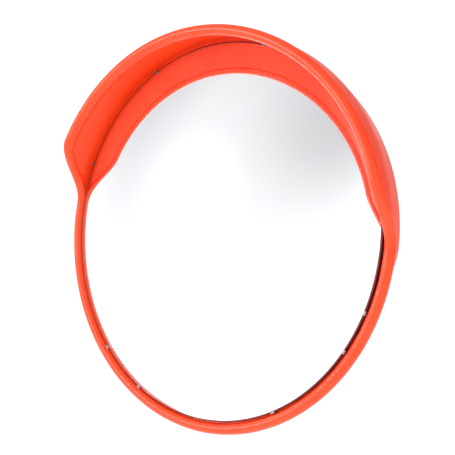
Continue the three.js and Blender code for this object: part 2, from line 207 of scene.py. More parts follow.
# ---- Curves in a plane ----
def resampled(points, count):
    """count points evenly spaced along a polyline."""
    points = np.asarray(points, float)
    lengths = np.concatenate([[0], np.cumsum(np.linalg.norm(np.diff(points, axis=0), axis=1))])
    at = np.linspace(0, lengths[-1], count)
    return np.stack([np.interp(at, lengths, points[:, k]) for k in (0, 1)], axis=1)


def bezier(a, b, c, count):
    t = np.linspace(0, 1, count)[:, None]
    return (1 - t) ** 2 * a + 2 * t * (1 - t) * b + t * t * c


def arc(centre, radius, start, end, count):
    angle = np.radians(np.linspace(start, end, count))
    return np.asarray(centre) + radius * np.stack([np.cos(angle), np.sin(angle)], axis=1)


def rounded(corners, radius, count=5):
    """A polyline whose inner corners are rounded by short curves; its two ends stay."""
    corners = [np.asarray(c, float) for c in corners]
    line = [corners[0][None]]
    for before, corner, after in zip(corners, corners[1:], corners[2:]):
        into, out = before - corner, after - corner
        reach = min(radius, 0.45 * np.linalg.norm(into), 0.45 * np.linalg.norm(out))
        start = corner + into / np.linalg.norm(into) * reach
        end = corner + out / np.linalg.norm(out) * reach
        line.append(bezier(start, corner, end, count))
    line.append(corners[-1][None])
    return np.concatenate(line)


# ---- The hooded frame ----
def height_angle(degrees):
    return math.degrees(math.asin(math.sin(math.radians(degrees))))


def rise_at(degrees):
    return smoothstep((height_angle(degrees) - HOOD_START) / (HOOD_FULL - HOOD_START))


def lip_at(degrees):
    """Centre of the bead: on the rim below, and climbing forwards into the hood's lip above."""
    rise = rise_at(degrees)
    top = math.sin(math.radians(degrees)) ** 2
    radius = BEAD_RING + (blend(HOOD_RADIUS, top) - BEAD_RING) * rise
    return np.array([radius, -rise * blend(HOOD_DEPTH, top)])


def wall_sides(lip, back):
    """Outer and inner surfaces of the hood's wall and the shell behind it, from the bead to the back."""
    slope = (SEAT - back) / np.linalg.norm(SEAT - back)
    across = np.array([-slope[1], slope[0]])
    seat = SEAT - across * WALL / 2
    start = lip - np.array([0.4 * BEAD_LIP, 0])
    knee = seat + slope * 0.2 * np.linalg.norm(start - seat)
    line = bezier(start, knee, seat, 40)
    along = np.gradient(line, axis=0)
    along /= np.linalg.norm(along, axis=1)[:, None]
    normal = np.stack([along[:, 1], -along[:, 0]], axis=1)
    half = np.linspace(0.45 * WALL, WALL / 2, 40)[:, None]
    outer = np.concatenate([line + normal * half, resampled([SEAT, back], 12)[1:]])
    return outer, line - normal * half


def beyond_bead(side, lip, bead):
    """The part of a wall surface that is outside the bead, starting on the bead's own surface."""
    distance = np.linalg.norm(side - lip, axis=1)
    inside = np.nonzero(distance < bead)[0]
    i = inside[-1] if len(inside) else 0
    if i + 1 >= len(side):
        return side[-1:]
    share = (bead - distance[i]) / (distance[i + 1] - distance[i])
    start = side[i] + share * (side[i + 1] - side[i])
    return np.concatenate([start[None], side[i + 1:]])


def inner_wall(side, lip, bead):
    """The hood's inner surface from the bead to the ledge that the mirror's seal sits on."""
    limit = LEDGE_FRONT - 0.4
    rest = beyond_bead(side, lip, bead)
    if rest[0, 1] >= limit:
        height = min((limit - lip[1]) / bead, 0.95)
        rest = np.array([lip + bead * np.array([-math.sqrt(1 - height**2), height])])
    else:
        foot = np.interp(limit, rest[:, 1], rest[:, 0])
        rest = np.concatenate([rest[rest[:, 1] < limit - 0.02], [[foot, limit]]])
    return np.concatenate([rest, [[rest[-1, 0], LEDGE_FRONT - 0.1]]])


def crease(bead_point, side, reach):
    """A small fillet between the bead and a wall surface, and the rest of that surface."""
    lengths = np.concatenate([[0], np.cumsum(np.linalg.norm(np.diff(side, axis=0), axis=1))])
    reach = min(reach, 0.9 * lengths[-1])
    end = np.array([np.interp(reach, lengths, side[:, k]) for k in (0, 1)])
    rest = np.concatenate([end[None], side[lengths > reach + 0.01]])
    return bezier(bead_point, side[0], end, 5), rest


def frame_section(degrees):
    """The frame's closed outline at one angle round the rim."""
    lip, bead = lip_at(degrees), blend((BEAD_RIM, BEAD_LIP), rise_at(degrees))
    step = smoothstep((height_angle(degrees) - SHELL_STEP[0]) / (SHELL_STEP[1] - SHELL_STEP[0]))
    back = np.array([blend(SHELL_BACK_RADIUS, step), SHELL_BACK_Y])
    outer, inner = wall_sides(lip, back)
    outer, inner = beyond_bead(outer, lip, bead), inner_wall(inner, lip, bead)
    angle_out = math.degrees(math.atan2(*(outer[0] - lip)[::-1]))
    angle_in = math.degrees(math.atan2(*(inner[0] - lip)[::-1])) - 360
    reach_out, reach_in, fillet_reach_in = 0.8, 1.2, 1.8
    step_out, step_in = math.degrees(reach_out / bead), math.degrees(reach_in / bead)
    round_bead = arc(lip, bead, angle_out - step_out, angle_in + step_in, 34)
    fillet_out, outer = crease(round_bead[0], outer, reach_out)
    fillet_in, wall = crease(round_bead[-1], inner, fillet_reach_in)
    shell = outer[outer[:, 1] < SHELL_BACK_Y - 0.1]
    return np.concatenate([
        round_bead[1:-1], fillet_in, resampled(wall, 16)[1:], rear_outline(wall[-1, 0], back),
        resampled(shell, 28)[::-1][:-1], fillet_out[::-1],
    ])


def rear_outline(corner, back):
    """The ledge, the inside and the rear flange, from the ledge's outer corner to the shell's back."""
    under = SEAT[0] - WALL - 0.6
    ledge = rounded([
        (corner, LEDGE_FRONT - 0.05), (corner - 0.1, LEDGE_FRONT), (LEDGE_INNER, LEDGE_FRONT),
        (LEDGE_INNER, LEDGE_BACK), (under, LEDGE_BACK), (back[0] - WALL - 0.2, back[1] - 0.6),
    ], 0.6, 3)
    tail = rounded([
        (back[0] - WALL - 0.2, back[1] - 0.6), (back[0] - 4.6, REAR_Y - WALL), (FLANGE, REAR_Y - WALL),
        (FLANGE, REAR_Y), (back[0] - 2.2, REAR_Y), tuple(back),
    ], 5.0, 7)
    return np.concatenate([ledge[:-1], tail])


def hooded_frame(material):
    count = 480
    rings = [about_y(frame_section(360 * i / count), 360 * i / count) for i in range(count)]
    piece = new_mesh("frame_moulding", np.concatenate(rings), grid_faces(count, len(rings[0]), True), 50)
    finish_piece(piece, material, "hooded_frame")


# ---- The mirror and the clips that hold it ----
DOME_SPHERE, DOME_EDGE, MIRROR_EDGE = 336.4, 209.8, 210.9


def mirror_dome(material):
    front, back = MIRROR_FRONT, MIRROR_FRONT + MIRROR_THICKNESS
    centre = front + math.sqrt(DOME_SPHERE**2 - DOME_EDGE**2)
    reach = math.degrees(math.asin(DOME_EDGE / DOME_SPHERE))
    outside = arc((0, centre), DOME_SPHERE, -90, reach - 90, 90)
    inner = DOME_SPHERE - MIRROR_THICKNESS
    inner_reach = math.degrees(math.acos((centre - back) / inner))
    inside = arc((0, centre), inner, inner_reach - 90, -90, 30)
    foot = rounded([outside[-2], outside[-1], (MIRROR_EDGE, front), (MIRROR_EDGE, back), inside[0]], 0.5, 5)
    profile = np.concatenate([outside[:-2], foot, inside[1:]])
    profile[0, 0] = profile[-1, 0] = 0
    finish_piece(turned("mirror_face", profile, 360), material, "mirror_dome")


def strip_section(line, gauge):
    """The closed outline of bent strip: a centre line thickened to its gauge."""
    along = np.gradient(line, axis=0)
    along /= np.linalg.norm(along, axis=1)[:, None]
    normal = np.stack([along[:, 1], -along[:, 0]], axis=1) * gauge / 2
    return np.concatenate([line + normal, (line - normal)[::-1]])


def retaining_clips(material):
    """Spring clips of bent strip that hook over the mirror's edge and under the ledge."""
    inner, outer, gauge, width = 210.0, 212.2, 0.9, 5.0
    hook, foot = MIRROR_FRONT - GAP - gauge / 2, LEDGE_BACK + GAP + gauge / 2
    side = outer - gauge / 2
    line = rounded([(inner, hook), (side, hook), (side, foot), (inner, foot)], 0.8, 5)
    section = strip_section(line, gauge)
    for number in range(1, 9):
        node = f"retaining_clip_{number}"
        low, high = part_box(node)
        middle = (low + high) / 2
        turn = math.atan2(middle.z, middle.x)
        slices = []
        for across, inset in ((-0.5, 0.15), (-0.44, 0), (0.44, 0), (0.5, 0.15)):
            centre = section.mean(axis=0)
            shrunk = section + (centre - section) / np.linalg.norm(centre - section, axis=1)[:, None] * inset
            x, y, z = shrunk[:, 0] * MM, shrunk[:, 1] * MM + FACE_Y, across * width * MM
            slices.append(np.stack([
                x * math.cos(turn) - z * math.sin(turn), y, x * math.sin(turn) + z * math.cos(turn),
            ], axis=1))
        count = len(section)
        faces = grid_faces(len(slices), count, False)
        faces += [tuple(range(count)), tuple(range((len(slices) - 1) * count, len(slices) * count))]
        finish_piece(new_mesh(f"clip_{number}", np.concatenate(slices), faces), material, node)


# ---- The back cover ----
def back_cover(material):
    front = REAR_Y + GAP
    pad_y, thickness, pad = 54.0, 2.6, 80.0
    rear = rounded([
        (0, pad_y), (pad, pad_y), (pad + 4, pad_y - 2), (112, 50.6), (118, 52.6), (130, 52.6), (136, 49.6),
        (160, 46), (171, front + thickness), (184.6, front + thickness), (185.5, front + 1.3),
    ], 3.5, 6)
    face = rounded([
        (185.5, front + 1.3), (184.8, front), (170, front), (158.6, 46 - thickness), (135, 49.6 - thickness),
        (129, 52.6 - thickness), (119, 52.6 - thickness), (113, 50.6 - thickness),
        (pad + 4.6, 52 - thickness), (pad + 0.6, pad_y - 3), (0, pad_y - 3),
    ], 2.5, 5)
    profile = np.concatenate([rear, face[1:]])
    rib_count, rib_half, rib_height = 12, 4.0, 1.8

    def relief(section, degrees):
        """Ribs pressed outwards across the cover's sloping band, halfway between the screws."""
        radius = section[:, 0]
        spacing = 360 / rib_count
        offset = (degrees + spacing / 2) % spacing - spacing / 2
        across = np.abs(math.radians(offset)) * radius
        along = smoothstep((radius - 137) / 6) * smoothstep((169 - radius) / 6)
        return rib_height * along * smoothstep((rib_half + 2 - across) / 4)

    finish_piece(turned("cover_shell", profile, 720, relief=relief), material, "back_cover")


# ---- Fasteners: turned about their own axis, with the bearing face at height 0 ----
def ring(reach, height, steps):
    """A ring of points round the axis. Reach is one radius, or a radius for each point."""
    angle = np.arange(steps) * 2 * math.pi / steps
    return np.stack([reach * np.cos(angle), reach * np.sin(angle), np.full(steps, height)], axis=1)


def rings_of(rows, steps):
    """Rings from rows of (circle radius, height, flats). Flats is the half width of a hexagon, or None."""
    angle = np.arange(steps) * 2 * math.pi / steps
    to_flat = 1 / np.cos((angle + math.pi / 6) % (math.pi / 3) - math.pi / 6)
    rings = []
    for radius, height, flats in rows:
        reach = np.minimum(radius, flats * to_flat) if flats else radius
        rings.append(ring(reach, height, steps))
    return rings


def spun(name, rings, closed=False):
    """A piece whose surface runs from ring to ring."""
    return new_mesh(name, np.concatenate(rings) * MM, grid_faces(len(rings), len(rings[0]), closed), 30)


def threaded(shank, pitch, start, end, steps):
    """The rings of a helical thread between two heights."""
    angle = np.arange(steps) * 2 * math.pi / steps
    rings = []
    for height in np.arange(start, end, pitch / 6):
        turn = (height / pitch - angle / (2 * math.pi)) % 1
        groove = np.abs(2 * turn - 1)
        fade = min(1, (height - start) / pitch, (end - height) / pitch)
        rings.append(ring(shank - 0.55 * pitch * groove * fade, height, steps))
    return rings


def hex_bolt(name, size, length, thread_length):
    """A bolt with its head above 0 and its shank below, threaded at the end."""
    steps = 48
    flats, height, shank, pitch = size["flats"], size["head_height"], size["shank"], size["pitch"]
    corner = flats / math.cos(math.pi / 6)
    thread_end = thread_length - length
    tip = [(0, -length, None), (shank - 0.5 * pitch, -length, None)]
    neck = [(shank, thread_end + 0.3, None), (shank, -0.4, None), (shank + 0.4, 0, None)]
    head = [
        (0.93 * flats, 0, None), (0.93 * flats, 0.25, None), (0.97 * flats, 0.25, flats),
        (corner, 0.8, flats), (corner, height - 0.22 * flats, flats), (0.98 * flats, height - 0.06, flats),
        (0.9 * flats, height, None), (0.62 * flats, height, None), (0.56 * flats, height - 0.25, None),
        (0, height - 0.25, None),
    ]
    thread = threaded(shank, pitch, 0.6 - length, thread_end, steps)
    return spun(name, rings_of(tip, steps) + thread + rings_of(neck + head, steps))


def hex_nut(name, size):
    flats, height, bore = size["flats"], size["nut_height"], size["hole"]
    corner = flats / math.cos(math.pi / 6)
    rows = [
        (bore + 0.5, 0, None), (bore, 0.5, None), (bore, height - 0.5, None), (bore + 0.5, height, None),
        (0.92 * flats, height, flats), (0.99 * flats, height - 0.08, flats),
        (corner, height - 0.22 * flats, flats), (corner, 0.22 * flats, flats),
        (0.99 * flats, 0.08, flats), (0.92 * flats, 0, flats),
    ]
    return spun(name, rings_of(rows, 48), closed=True)


def flat_washer(name, size):
    inner, outer, height, edge = size["hole"], size["washer"], size["washer_height"], 0.25
    rows = [
        (inner, edge, None), (inner + edge, 0, None), (outer - edge, 0, None), (outer, edge, None),
        (outer, height - edge, None), (outer - edge, height, None), (inner + edge, height, None),
        (inner, height - edge, None),
    ]
    return spun(name, rings_of(rows, 64), closed=True)


def cross_screw(name, head, height, shank, length):
    """A pan-head screw with a cross recess and a coarse thread."""
    dome = [(head, 0.15 * height, None), (head, 0.4 * height, None)]
    for angle in np.radians([15, 35, 55, 72, 84]):
        dome.append((head * math.cos(angle), height * (0.4 + 0.6 * math.sin(angle)), None))
    rows = [(0, -length, None)]
    thread_turns = 7
    for i in range(thread_turns):
        z = -length + 1.2 + i * (length - 1.6) / thread_turns
        rows += [(0.72 * shank, z, None), (shank, z + 0.45, None), (0.72 * shank, z + 0.9, None)]
    rows += [(0.72 * shank, -0.2, None), (0.9 * head, 0, None), *dome, (0, height, None)]
    screw = spun(name, rings_of(rows, 40))
    depth, reach, half = 0.62 * height, 0.52 * head, 0.13 * head
    for turn in (0, math.pi / 2):
        slot = bmesh.new()
        bmesh.ops.create_cube(slot, size=1)
        for vertex in slot.verts:
            share = 1.0 if vertex.co.z > 0 else 0.35
            vertex.co = Vector((2 * reach * share * vertex.co.x, 2 * half * vertex.co.y, vertex.co.z)) * MM
            vertex.co.z = (height - depth) * MM if vertex.co.z < 0 else (height + 1) * MM
            vertex.co.rotate(Matrix.Rotation(turn, 3, "Z"))
        mesh = bpy.data.meshes.new("slot")
        slot.to_mesh(mesh)
        slot.free()
        combined(screw, [new_object("slot", mesh)])
    return screw


M10 = {
    "shank": 4.9, "hole": 5.4, "flats": 8.49, "head_height": 6.4, "nut_height": 8.0,
    "washer": 10.0, "washer_height": 2.0, "pitch": 1.5,
}
M8 = {
    "shank": 3.9, "hole": 4.4, "flats": 6.5, "head_height": 5.3, "nut_height": 6.5,
    "washer": 8.0, "washer_height": 1.6, "pitch": 1.25,
}
AXES = {"x": Vector((1, 0, 0)), "y": Vector((0, 1, 0)), "z": Vector((0, 0, 1))}


def placed(piece, node, axis, sign, bearing, spin=0.0):
    """Turns a fastener made along +Z so that it points along an axis, at a CAD node's place."""
    low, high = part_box(node)
    index = "xyz".index(axis)
    centre = (low + high) / 2
    centre[index] = bearing
    turn = (AXES[axis] * sign).to_track_quat("Z", "Y").to_matrix().to_4x4()
    piece.data.transform(Matrix.Translation(centre) @ turn @ Matrix.Rotation(spin, 4, "Z"))
    return piece


def bolt_at(node, material, size, axis, sign, thread_length, spin):
    """sign is the side that the head is on."""
    low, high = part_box(node)
    index = "xyz".index(axis)
    head_end, tail_end = (high[index], low[index]) if sign > 0 else (low[index], high[index])
    bearing = head_end - sign * size["head_height"] * MM
    length = abs(bearing - tail_end) / MM
    piece = placed(hex_bolt(f"{node}_fine", size, length, thread_length), node, axis, sign, bearing, spin)
    finish_piece(piece, material, node)


def ring_at(node, material, maker, size, axis, spin=0.0):
    low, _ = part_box(node)
    piece = placed(maker(f"{node}_fine", size), node, axis, 1, low["xyz".index(axis)], spin)
    finish_piece(piece, material, node)


def fasteners(zinc, stainless):
    for number in range(1, 5):
        spin = math.radians(17 * number)
        bolt_at(f"plate_bolt_{number}", zinc, M8, "y", -1, thread_length=16, spin=0)
        ring_at(f"plate_washer_{number}", zinc, flat_washer, M8, "y")
        ring_at(f"plate_nut_{number}", zinc, hex_nut, M8, "y", spin)
    for number in (1, 2):
        bolt_at(f"clamp_bolt_{number}", zinc, M8, "y", -1, thread_length=18, spin=0.3 * number)
        ring_at(f"clamp_washer_{number}", zinc, flat_washer, M8, "y")
        ring_at(f"clamp_nut_{number}", zinc, hex_nut, M8, "y", 0.5 * number)
    for name, axis in (("tilt", "x"), ("pan", "z")):
        low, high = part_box(f"{name}_nut")
        nut_low = (low + high)["xyz".index(axis)] < 0
        head_side = 1 if nut_low else -1
        bolt_at(f"{name}_bolt", zinc, M10, axis, head_side, thread_length=28, spin=0.2)
        ring_at(f"{name}_washer_1", zinc, flat_washer, M10, axis)
        ring_at(f"{name}_washer_2", zinc, flat_washer, M10, axis)
        ring_at(f"{name}_nut", zinc, hex_nut, M10, axis, 0.7)
    head, height, shank, length = 4.2, 2.2, 1.7, 12.0
    for number in range(1, 7):
        node = f"cover_screw_{number}"
        screw = cross_screw(f"{node}_fine", head, height, shank, length)
        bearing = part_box(node)[1].y - height * MM
        finish_piece(placed(screw, node, "y", 1, bearing, 0.9 * number), stainless, node)


# ---- Brackets: plates cut from an outline, with their edges eased ----
def plate(name, outline, holes, thickness, edge, place):
    """A plate from an outline in millimetres, drawn in its own plane and put in place by a matrix."""
    curve = bpy.data.curves.new(name, "CURVE")
    curve.dimensions, curve.fill_mode = "2D", "BOTH"
    curve.extrude, curve.bevel_depth = (thickness / 2 - edge) * MM, edge * MM
    curve.bevel_resolution, curve.offset = 2, -edge * MM
    for path in [outline, *holes]:
        spline = curve.splines.new("POLY")
        spline.points.add(len(path) - 1)
        for point, (x, y) in zip(spline.points, path):
            point.co = (x * MM, y * MM, 0, 1)
        spline.use_cyclic_u = True
    drawn = new_object(name, curve)
    mesh = bpy.data.meshes.new_from_object(drawn.evaluated_get(bpy.context.evaluated_depsgraph_get()))
    bpy.data.objects.remove(drawn)
    mesh.transform(place)
    cleaned(mesh, 30)
    return new_object(name, mesh)


def circle(x, y, radius, count=48):
    return arc((x, y), radius, 0, 360 * (1 - 1 / count), count)


def rounded_rectangle(width, height, corner):
    x, y = width / 2 - corner, height / 2 - corner
    quarters = ((x, y, 0), (-x, y, 90), (-x, -y, 180), (x, -y, 270))
    return np.concatenate([arc((cx, cy), corner, start, start + 90, 10) for cx, cy, start in quarters])


def facing(axis, centre):
    """The matrix that lays a plate drawn in X and Y across an axis, at a centre in metres."""
    columns = {
        "x": ((0, 1, 0), (0, 0, 1), (1, 0, 0)),
        "y": ((1, 0, 0), (0, 0, 1), (0, -1, 0)),
        "z": ((1, 0, 0), (0, 1, 0), (0, 0, 1)),
    }[axis]
    turn = Matrix(columns).transposed().to_4x4()
    return Matrix.Translation(centre) @ turn


BRACKET = {
    "width": 104.0, "height": 84.0, "thickness": 4.0,
    "half_gap": 22.6, "ear_half": 32.0, "ear_end": 14.0,
}
PLATE_BOLT_X, PLATE_BOLT_Z = 40.0, 30.0
tilt_joint = next(joint for joint in frame["joints"] if joint["name"] == "tilt")
pan_joint = next(joint for joint in frame["joints"] if joint["name"] == "pan")
TILT_Y, PAN_Y = tilt_joint["pos_m"][1], pan_joint["pos_m"][1]


def weld(name, start, end, radius, side):
    """A rippled fillet weld along a line in Z, in the corner between a plate and an ear."""
    count, around, ripple = 120, 12, 22
    angle = np.arange(around) * 2 * math.pi / around
    points = []
    for i in range(count):
        t = i / (count - 1)
        taper = math.sqrt(max(0.0, 1 - abs(2 * t - 1) ** 8))
        reach = radius * (1 + 0.12 * abs(math.sin(math.pi * ripple * t))) * max(taper, 0.02)
        centre = Vector(start).lerp(Vector(end), t)
        for a in angle:
            x, y = reach * math.cos(a), reach * math.sin(a)
            points.append(centre + Vector((side * reach * math.cos(a), y, 0.25 * x)))
    ends = [tuple(range(around)), tuple(range((count - 1) * around, count * around))]
    return new_mesh(name, points, grid_faces(count, around, False) + ends, 60)


def mirror_bracket(material):
    low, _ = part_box("mirror_bracket")
    thickness, half_gap = BRACKET["thickness"], BRACKET["half_gap"]
    base_y = low.y + thickness / 2 * MM
    corners = [(x, z) for x in (-PLATE_BOLT_X, PLATE_BOLT_X) for z in (-PLATE_BOLT_Z, PLATE_BOLT_Z)]
    bolts = [circle(x, z, M8["hole"]) for x, z in corners]
    outline = rounded_rectangle(BRACKET["width"], BRACKET["height"], 8)
    base = plate("bracket_plate", outline, bolts, thickness, 0.7, facing("y", (0, base_y, 0)))
    reach = (TILT_Y - base_y) / MM
    ear_half, ear_end = BRACKET["ear_half"], BRACKET["ear_end"]
    lean = math.atan2(ear_half, reach) - math.asin(ear_end / math.hypot(reach, ear_half))
    end = 90 - math.degrees(lean)
    ear = np.concatenate([
        [(-reach, ear_half), (-reach, -ear_half)], arc((0, 0), ear_end, -end, end, 28),
    ])
    ears = []
    for side in (-1, 1):
        x = side * (half_gap + thickness / 2) * MM
        hole = circle(0, 0, M10["hole"])
        ears.append(plate("ear", ear, [hole], thickness, 0.7, facing("x", (x, TILT_Y, 0))))
    bracket = combined(base, ears, "UNION")
    welds, weld_half, weld_radius = [], 29, 1.9
    for side in (-1, 1):
        for face, x in ((-side, half_gap), (side, half_gap + thickness)):
            corner = (side * x * MM, low.y + thickness * MM)
            ends = [(*corner, z * weld_half * MM) for z in (-1, 1)]
            welds.append(weld("weld", *ends, weld_radius * MM, face))
    finish_piece(joined("bracket_fine", [bracket, *welds]), material, "mirror_bracket")


def knuckle(material):
    """A cast cross of two bored bosses."""
    _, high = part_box("knuckle")
    tilt_radius, pan_radius, bore, web_x, web_z = 13.0, 14.0, 5.5, 20.0, 22.0
    tilt_half, pan_half = high.x / MM, high.z / MM
    along_tilt, along_pan = facing("x", (0, TILT_Y, 0)), facing("z", (0, PAN_Y, 0))
    tilt_boss = plate("tilt_boss", circle(0, 0, tilt_radius, 96), [], 2 * tilt_half, 1.0, along_tilt)
    pan_boss = plate("pan_boss", circle(0, 0, pan_radius, 96), [], 2 * pan_half, 1.0, along_pan)
    reach = (PAN_Y - TILT_Y) / MM
    between = facing("z", (0, (PAN_Y + TILT_Y) / 2, 0))
    web = plate("web", rounded_rectangle(web_x, reach, 4), [], web_z, 1.5, between)
    body = softened(combined(tilt_boss, [pan_boss, web], "UNION"), 0.7, 8)
    bores = [
        plate("bore", circle(0, 0, bore, 64), [], 4 * tilt_half, 0.1, along_tilt),
        plate("bore", circle(0, 0, bore, 64), [], 4 * pan_half, 0.1, along_pan),
    ]
    body = combined(body, bores, sharp_degrees=50)
    body.name = "knuckle_casting"
    finish_piece(body, material, "knuckle")


# ---- The pole clamp ----
CLAMP = {"inner": 32.6, "thickness": 5.0, "reach": 64.0, "split": 3.0, "bolt_x": 50.0}


def half_clamp_outline():
    """Half of a split ring with bolting wings, opening towards +Y."""
    inner, outer = CLAMP["inner"], CLAMP["inner"] + CLAMP["thickness"]
    split, front = CLAMP["split"], CLAMP["split"] + CLAMP["thickness"]
    outer_end = math.degrees(math.asin(front / outer))
    inner_end = math.degrees(math.asin(split / inner))
    reach = CLAMP["reach"]
    outside = arc((0, 0), outer, 180 + outer_end, 360 - outer_end, 48)
    inside = arc((0, 0), inner, 360 - inner_end, 180 + inner_end, 48)
    wing_right = rounded([outside[-2], outside[-1], (reach, -front), (reach, -split), inside[0]], 3.0, 6)
    wing_left = rounded([inside[-1], (-reach, -split), (-reach, -front), outside[0], outside[1]], 3.0, 6)
    return np.concatenate([outside[1:-2], wing_right[:-1], inside, wing_left[1:-1]])


def bolt_hole_tools():
    return [
        plate("hole", circle(0, 0, M8["hole"]), [], 40, 0.1, facing("y", (x * CLAMP["bolt_x"] * MM, 0, 0)))
        for x in (-1, 1)
    ]


def clamp_saddle(material):
    low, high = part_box("clamp_saddle")
    height, ear_half_gap, ear_thickness, ear_radius = (high.z - low.z) / MM, 22.4, 5.0, 15.0
    ring = plate("saddle", half_clamp_outline(), [], height, 0.8, facing("z", (0, 0, 0)))
    root = CLAMP["inner"] + 1.4
    outline = np.concatenate([
        [(ear_radius, -root), (-ear_radius, -root)], arc((0, PAN_Y / MM), ear_radius, 180, 360, 40),
    ])
    ears = []
    for side in (-1, 1):
        z = side * (ear_half_gap + ear_thickness / 2) * MM
        hole = circle(0, PAN_Y / MM, M10["hole"])
        ears.append(plate("ear", outline, [hole], ear_thickness, 0.7, facing("z", (0, 0, z))))
    saddle = combined(combined(ring, ears, "UNION"), bolt_hole_tools())
    saddle.name = "saddle_fine"
    finish_piece(saddle, material, "clamp_saddle")


def clamp_strap(material):
    low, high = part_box("clamp_strap")
    strap = plate("strap_fine", -half_clamp_outline(), [], (high.z - low.z) / MM, 0.8, facing("z", (0, 0, 0)))
    finish_piece(combined(strap, bolt_hole_tools()), material, "clamp_strap")


def pole_liner(node, start, material):
    """A rubber liner with shallow grip ribs on the side that holds the pole."""
    low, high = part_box(node)
    inner, outer, sweep, ribs = 30.3, 32.3, 165.6, 36
    angle = np.radians(np.linspace(start, start + sweep, 10 * ribs + 1))
    grip = inner + 0.5 * (0.5 - 0.5 * np.cos(np.linspace(0, 2 * math.pi * ribs, 10 * ribs + 1)))
    inside = np.stack([grip * np.cos(angle), grip * np.sin(angle)], axis=1)
    outside = arc((0, 0), outer, start + sweep, start, 90)
    outline = np.concatenate([inside, outside])
    piece = plate(f"{node}_fine", outline, [], (high.z - low.z) / MM, 0.2, facing("z", (0, 0, 0)))
    finish_piece(piece, material, node)


# ---- Materials ----
class Finish:
    """A Principled material and short ways of adding nodes to it."""

    def __init__(self, name, colour, roughness, metallic=0.0, **sockets):
        self.material = bpy.data.materials.new(name)
        self.material.use_nodes = True
        self.tree = self.material.node_tree
        self.shader = self.tree.nodes["Principled BSDF"]
        self.shader.inputs["Base Color"].default_value = (*colour, 1)
        self.shader.inputs["Roughness"].default_value = roughness
        self.shader.inputs["Metallic"].default_value = metallic
        for socket, value in sockets.items():
            self.shader.inputs[socket.replace("_", " ")].default_value = value
        self.place = self.tree.nodes.new("ShaderNodeTexCoord").outputs["Object"]

    def add(self, kind, **inputs):
        node = self.tree.nodes.new(kind)
        for socket, value in inputs.items():
            target = node.inputs[socket.replace("_", " ")]
            if isinstance(value, bpy.types.NodeSocket):
                self.tree.links.new(value, target)
            else:
                target.default_value = value
        return node

    def noise(self, scale, detail=3.0, stretch=None):
        place = self.place
        if stretch:
            mapping = self.add("ShaderNodeMapping", Vector=place, Scale=stretch)
            place = mapping.outputs["Vector"]
        node = self.add("ShaderNodeTexNoise", Vector=place, Scale=scale, Detail=detail, Roughness=0.55)
        return node.outputs["Fac"]

    def cells(self, scale):
        node = self.add("ShaderNodeTexVoronoi", Vector=self.place, Scale=scale)
        return node.outputs["Color"], node.outputs["Distance"]

    def ramp(self, value, *stops):
        """Maps a 0 to 1 value through (position, colour) stops."""
        node = self.add("ShaderNodeValToRGB", Fac=value)
        while len(node.color_ramp.elements) < len(stops):
            node.color_ramp.elements.new(0.5)
        for element, (position, colour) in zip(node.color_ramp.elements, stops):
            element.position = position
            element.color = (*colour, 1)
        return node.outputs["Color"]

    def spread(self, value, low, high, start=0.3, end=0.7):
        """Maps a varying value to a range of numbers."""
        limits = {"From_Min": start, "From_Max": end, "To_Min": low, "To_Max": high}
        return self.add("ShaderNodeMapRange", Value=value, **limits).outputs["Result"]

    def mixed(self, share, a, b):
        node = self.tree.nodes.new("ShaderNodeMix")
        node.data_type = "RGBA"
        sockets = [node.inputs[0], node.inputs[6], node.inputs[7]]
        for target, value in zip(sockets, (share, a, b)):
            if isinstance(value, bpy.types.NodeSocket):
                self.tree.links.new(value, target)
            else:
                target.default_value = (*value, 1)
        return node.outputs[2]

    def bump(self, *layers):
        """Stacks bump layers of (height, strength, distance in millimetres)."""
        normal = None
        for height, strength, distance in layers:
            node = self.add("ShaderNodeBump", Height=height, Strength=strength, Distance=distance * MM)
            if normal:
                self.tree.links.new(normal, node.inputs["Normal"])
            normal = node.outputs["Normal"]
        self.tree.links.new(normal, self.shader.inputs["Normal"])

    def drive(self, socket, value):
        self.tree.links.new(value, self.shader.inputs[socket])


def orange_plastic():
    """Satin high-visibility plastic with a faint painted orange glow, an emission that lifts its shaded parts
    such as the hood's underside.
    """
    # Painted light: an even orange emission that brightens the shaded parts of the moulding, which is no
    # lamp.
    finish = Finish("orange_moulding", (0.9, 0.055, 0.010), 0.32, IOR=1.40, Emission_Strength=0.24)
    finish.shader.inputs["Emission Color"].default_value = (0.9, 0.045, 0.008, 1)
    broad, fine = finish.noise(14, 3), finish.noise(160, 4)
    tint = finish.ramp(broad, (0.35, (0.87, 0.050, 0.008)), (0.65, (0.93, 0.062, 0.012)))
    flecks = finish.spread(fine, 0.0, 0.05, 0.5, 0.75)
    finish.drive("Base Color", finish.mixed(flecks, tint, (0.95, 0.13, 0.07)))
    finish.drive("Roughness", finish.spread(finish.noise(45, 4), 0.25, 0.36))
    finish.bump((finish.noise(60, 1), 0.10, 0.10))
    return finish.material


